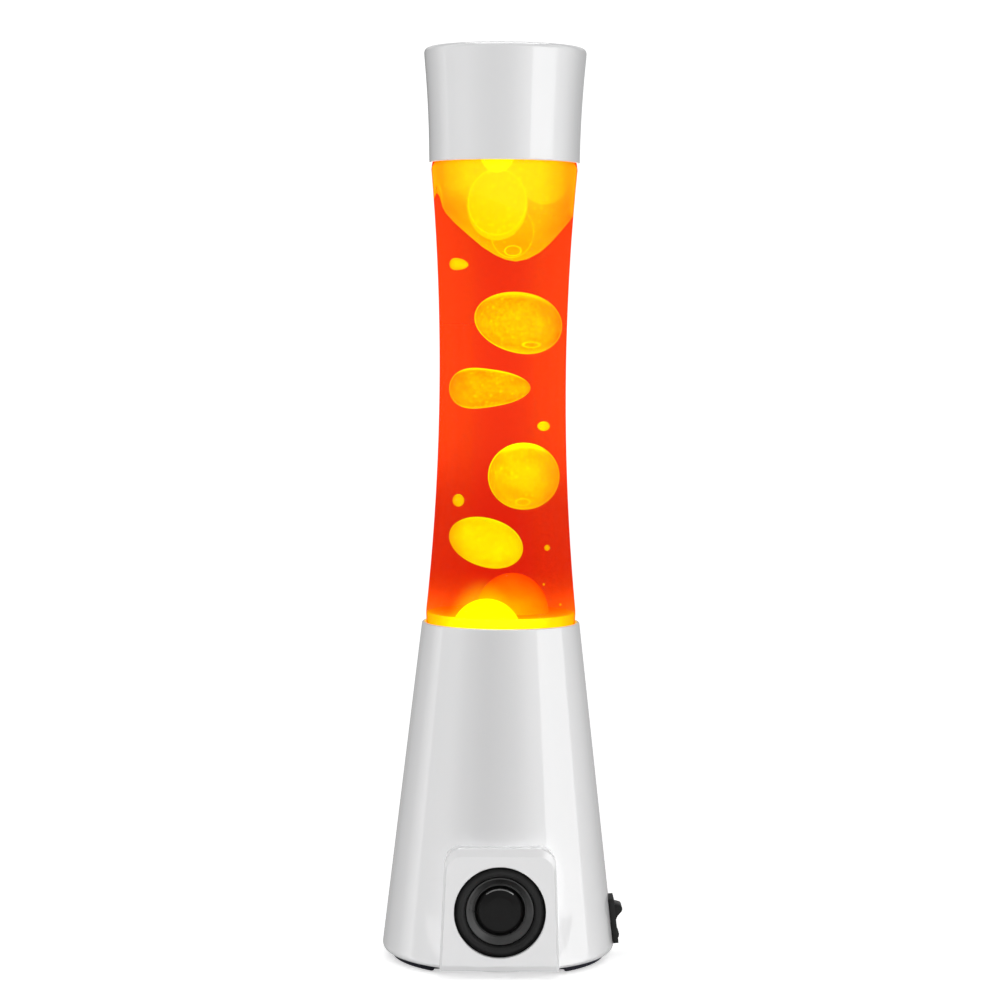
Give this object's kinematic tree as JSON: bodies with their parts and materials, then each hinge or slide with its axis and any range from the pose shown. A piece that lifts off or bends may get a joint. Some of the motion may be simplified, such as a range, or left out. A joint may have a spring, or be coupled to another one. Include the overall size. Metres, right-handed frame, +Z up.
{
  "type": "lava lamp with loudspeaker base",
  "caption": "Lava lamp: waisted glass bottle of red liquid and yellow wax, flared white cap, conical white base with a round loudspeaker in a flat front housing and a rocker switch.",
  "frame": {"origin": "on the ground, on the axis of the bottle and the base's cone", "axes": "+Z up along the bottle's axis; the loudspeaker faces -Y, the rocker switch +X and the mains inlet +Y"},
  "size_m": [0.1089, 0.1061, 0.41],
  "materials": {
    "white_gloss": "glossy white moulded plastic",
    "black_plastic": "satin black plastic",
    "black_gloss": "glossy black plastic",
    "foot_rubber": "matt black rubber",
    "foam_rubber": "closed-cell foam",
    "speaker_rubber": "soft black rubber",
    "cone_paper": "coated black paper",
    "dust_cap": "smooth black dust cap",
    "copper": "enamelled copper wire",
    "ferrite": "ferrite",
    "steel": "zinc-plated steel",
    "screw_steel": "zinc-plated steel",
    "aluminium": "plain sheet aluminium",
    "brass": "nickel-free brass",
    "ceramic": "glazed white ceramic",
    "bulb_glass": "reflector bulb glass, silvered on its lower half",
    "clear_glass": "clear glass",
    "red_liquid": "clear red lamp liquid",
    "yellow_wax": "soft yellow wax",
    "circuit_board": "green glass-fibre circuit board",
    "lead_white": "white insulated wire",
    "lead_red": "red insulated wire"
  },
  "bodies": {
    "base": {"base_shell": "white_gloss", "bottom_cover": "black_plastic", "switch_body": "black_plastic", "mains_inlet": "black_plastic", "power_module": "black_plastic", "speaker_basket": "black_plastic", "board_capacitor": "black_plastic", "speaker_gasket": "foam_rubber", "speaker_surround": "speaker_rubber", "speaker_magnet": "ferrite", "speaker_yoke": "steel", "lampholder_body": "ceramic", "lampholder_nut": "brass", "lampholder_thread": "brass", "lamp_bracket": "steel", "heat_shield": "aluminium", "seat_ring": "aluminium", "switch_terminal_1": "brass", "switch_terminal_2": "brass", "inlet_pin_1": "steel", "inlet_pin_2": "steel", "audio_board": "circuit_board", "bluetooth_module": "steel", "lamp_lead": "lead_white", "switch_lead": "lead_white", "speaker_lead": "lead_red", "rubber_foot_1": "foot_rubber", "rubber_foot_2": "foot_rubber", "rubber_foot_3": "foot_rubber", "rubber_foot_4": "foot_rubber", "cover_screw_1": "screw_steel", "cover_screw_2": "screw_steel", "cover_screw_3": "screw_steel", "cover_screw_4": "screw_steel", "speaker_screw_1": "screw_steel", "speaker_screw_2": "screw_steel", "speaker_screw_3": "screw_steel", "speaker_screw_4": "screw_steel", "bracket_screw_1": "screw_steel", "bracket_screw_2": "screw_steel", "shield_screw_1": "screw_steel", "shield_screw_2": "screw_steel"},
    "bottle": {"glass_bottle": "clear_glass", "crown_cap": "steel", "lamp_liquid": "red_liquid", "wax_top": "yellow_wax", "wax_pool": "yellow_wax", "wax_drop_1": "yellow_wax", "wax_drop_2": "yellow_wax", "wax_drop_3": "yellow_wax", "wax_drop_4": "yellow_wax"},
    "cap": {"top_cap": "white_gloss"},
    "rocker": {"switch_rocker": "black_gloss"},
    "cone": {"speaker_cone": "cone_paper", "dust_cap": "dust_cap", "voice_coil": "copper"},
    "bulb_base": {"bulb_cap": "brass"},
    "bulb": {"bulb_glass": "bulb_glass"}
  },
  "joints": [
    {"name": "bottle_lift", "type": "slide", "parent": "base", "child": "bottle", "axis": [0, 0, 1], "range_m": [0, 0.05]},
    {"name": "cap_lift", "type": "slide", "parent": "bottle", "child": "cap", "axis": [0, 0, 1], "range_m": [0, 0.05]},
    {"name": "switch_rock", "type": "hinge", "parent": "base", "child": "rocker", "pos_m": [0.04983, 0, 0.01643], "axis": [0, 1, 0], "range_deg": [-26, 0]},
    {"name": "cone_travel", "type": "slide", "parent": "base", "child": "cone", "axis": [0, 1, 0], "range_m": [-0.001, 0.001], "stiffness_N_per_m": 300},
    {"name": "bulb_rise", "type": "slide", "parent": "base", "child": "bulb_base", "axis": [0, 0, 1], "range_m": [0, 0.01]},
    {"name": "bulb_turn", "type": "hinge", "parent": "bulb_base", "child": "bulb", "pos_m": [0, 0, 0.09], "axis": [0, 0, 1], "range_deg": [0, 1260]}
  ],
  "couplings": [
    {"joint": "bulb_rise", "follows": "bulb_turn", "m_per_rad": 0.00044882}
  ]
}
